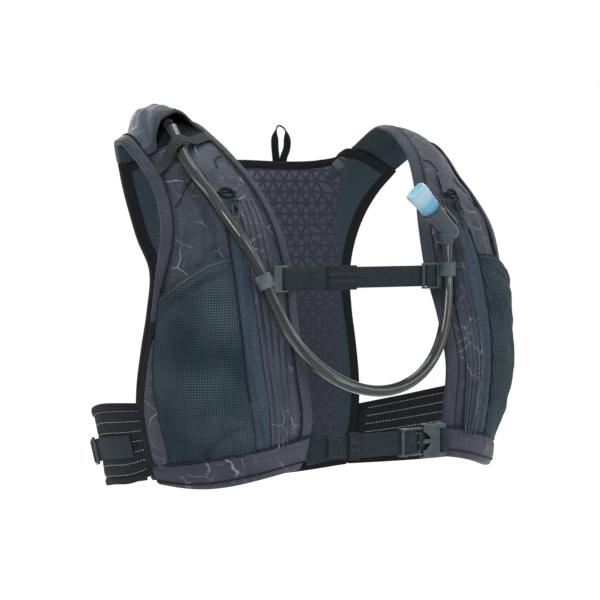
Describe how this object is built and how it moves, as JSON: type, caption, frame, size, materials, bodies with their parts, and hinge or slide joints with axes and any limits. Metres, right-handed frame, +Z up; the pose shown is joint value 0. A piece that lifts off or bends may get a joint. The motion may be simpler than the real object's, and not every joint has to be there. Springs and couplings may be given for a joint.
{
  "type": "hydration pack",
  "caption": "Vest-style running hydration pack with zipped and mesh front pockets, sternum and waist straps, side adjusters and a drinking tube ending in a bite valve",
  "frame": {"origin": "Where the wearer's torso holds the pack: on the centre plane, at mid depth of the torso, level with the low point of the front hems.", "axes": "+X towards the wearer's left, -Y the way the wearer faces, +Z up."},
  "size_m": [0.4354, 0.3232, 0.3799],
  "materials": {
    "shell_fabric": "ripstop nylon shell, matte",
    "padded_mesh": "air mesh over thin foam, matte",
    "pocket_mesh": "stretch netting, matte",
    "zip_tape": "woven tape with coil, satin",
    "binding": "folded edge tape, matte",
    "elastic": "knitted elastic, matte",
    "webbing": "woven nylon webbing, matte",
    "buckle_plastic": "moulded nylon, satin",
    "zip_metal": "lacquered die cast, satin",
    "cord": "braided cord, matte",
    "tube": "clear soft tubing, gloss",
    "valve_body": "moulded body, gloss",
    "bite_silicone": "translucent silicone, satin",
    "bladder_film": "clear flexible film, gloss"
  },
  "bodies": {
    "vest": {"anchor_loop_left": "webbing", "armhole_binding_left": "binding", "armhole_binding_right": "binding", "back_panel": "padded_mesh", "bladder": "bladder_film", "bladder_closure": "buckle_plastic", "bladder_outlet": "valve_body", "drinking_tube": "tube", "front_hem_left": "shell_fabric", "front_hem_right": "shell_fabric", "front_panel_left": "shell_fabric", "front_panel_right": "shell_fabric", "hang_loop": "webbing", "hose_connector": "valve_body", "hose_hood": "shell_fabric", "hose_inner": "tube", "mesh_pocket_left": "pocket_mesh", "mesh_pocket_right": "pocket_mesh", "neck_binding": "binding", "pleated_gusset_left": "shell_fabric", "pleated_gusset_right": "shell_fabric", "rear_cover": "shell_fabric", "rear_mesh_pocket": "pocket_mesh", "rear_zip_tape": "zip_tape", "side_ladder_left": "buckle_plastic", "side_ladder_right": "buckle_plastic", "side_webbing_left": "webbing", "side_webbing_right": "webbing", "side_wing_left": "elastic", "side_wing_right": "elastic", "sternum_hook": "buckle_plastic", "sternum_ladder": "buckle_plastic", "sternum_webbing": "webbing", "tube_band": "elastic", "waist_anchor_webbing": "webbing", "waist_buckle_female": "buckle_plastic", "waist_webbing": "webbing", "zip_tape_left": "zip_tape", "zip_tape_right": "zip_tape"},
    "zip_slider_left": {"zip_slider_left": "zip_metal"},
    "zip_slider_right": {"zip_slider_right": "zip_metal"},
    "zip_pull_left": {"zip_pull_left": "cord"},
    "zip_pull_right": {"zip_pull_right": "cord"},
    "rear_zip_slider": {"rear_zip_slider": "zip_metal"},
    "rear_zip_pull": {"rear_zip_pull": "cord"},
    "waist_buckle_male": {"waist_buckle_male": "buckle_plastic"},
    "buckle_arm_upper": {"buckle_arm_upper": "buckle_plastic"},
    "buckle_arm_lower": {"buckle_arm_lower": "buckle_plastic"},
    "waist_keeper": {"waist_keeper": "elastic"},
    "sternum_keeper": {"sternum_keeper": "elastic"},
    "bite_valve": {"mouthpiece": "bite_silicone", "valve_body": "valve_body"},
    "shutoff_lever": {"shutoff_lever": "valve_body"},
    "connector_button": {"connector_button": "buckle_plastic"}
  },
  "joints": [
    {"name": "zip_left_run", "type": "hinge", "parent": "vest", "child": "zip_slider_left", "pos_m": [-0.05942, 0.19879, 0.11584], "axis": [0.8513, 0.5113, -0.1175], "range_deg": [0, 33]},
    {"name": "zip_right_run", "type": "hinge", "parent": "vest", "child": "zip_slider_right", "pos_m": [0.05942, 0.19879, 0.11584], "axis": [0.8513, -0.5113, 0.1175], "range_deg": [0, 33]},
    {"name": "pull_left_swing", "type": "hinge", "parent": "zip_slider_left", "child": "zip_pull_left", "pos_m": [0.1298, -0.07968, 0.28562], "axis": [0.944, 0.3298, -0.0118], "range_deg": [-150, 0]},
    {"name": "pull_right_swing", "type": "hinge", "parent": "zip_slider_right", "child": "zip_pull_right", "pos_m": [-0.1298, -0.07968, 0.28562], "axis": [0.944, -0.3298, 0.0118], "range_deg": [-150, 0]},
    {"name": "rear_zip_run", "type": "slide", "parent": "vest", "child": "rear_zip_slider", "axis": [1, 0, 0], "range_m": [0, 0.148]},
    {"name": "rear_pull_swing", "type": "hinge", "parent": "rear_zip_slider", "child": "rear_zip_pull", "pos_m": [-0.074, 0.1643, 0.262], "axis": [1, 0, 0], "range_deg": [0, 150]},
    {"name": "waist_strap_slide", "type": "slide", "parent": "vest", "child": "waist_buckle_male", "axis": [-1, 0, 0], "range_m": [0, 0.022]},
    {"name": "arm_upper_flex", "type": "hinge", "parent": "waist_buckle_male", "child": "buckle_arm_upper", "pos_m": [0.04885, -0.128, 0.0702], "axis": [0, 1, 0], "range_deg": [0, 5], "stiffness_Nm_per_rad": 0.05},
    {"name": "arm_lower_flex", "type": "hinge", "parent": "waist_buckle_male", "child": "buckle_arm_lower", "pos_m": [0.04885, -0.128, 0.0468], "axis": [0, -1, 0], "range_deg": [0, 5], "stiffness_Nm_per_rad": 0.05},
    {"name": "waist_keeper_slide", "type": "slide", "parent": "vest", "child": "waist_keeper", "axis": [1, 0, 0], "range_m": [0, 0.02]},
    {"name": "sternum_keeper_slide", "type": "slide", "parent": "vest", "child": "sternum_keeper", "axis": [1, 0, 0], "range_m": [0, 0.05]},
    {"name": "valve_swivel", "type": "hinge", "parent": "vest", "child": "bite_valve", "pos_m": [0.0868, -0.117, 0.2475], "axis": [-0.0524, -0.0381, 0.9979], "range_deg": [-10, 100]},
    {"name": "shutoff_turn", "type": "hinge", "parent": "bite_valve", "child": "shutoff_lever", "pos_m": [0.08701, -0.11866, 0.27758], "axis": [0.6441, 0, 0.7649], "range_deg": [0, 90]},
    {"name": "connector_release", "type": "slide", "parent": "vest", "child": "connector_button", "axis": [0, -1, 0], "range_m": [0, 0.002], "stiffness_N_per_m": 150, "springref_m": -0.001}
  ],
  "couplings": [
    {"joint": "arm_lower_flex", "follows": "arm_upper_flex", "ratio": 1}
  ]
}
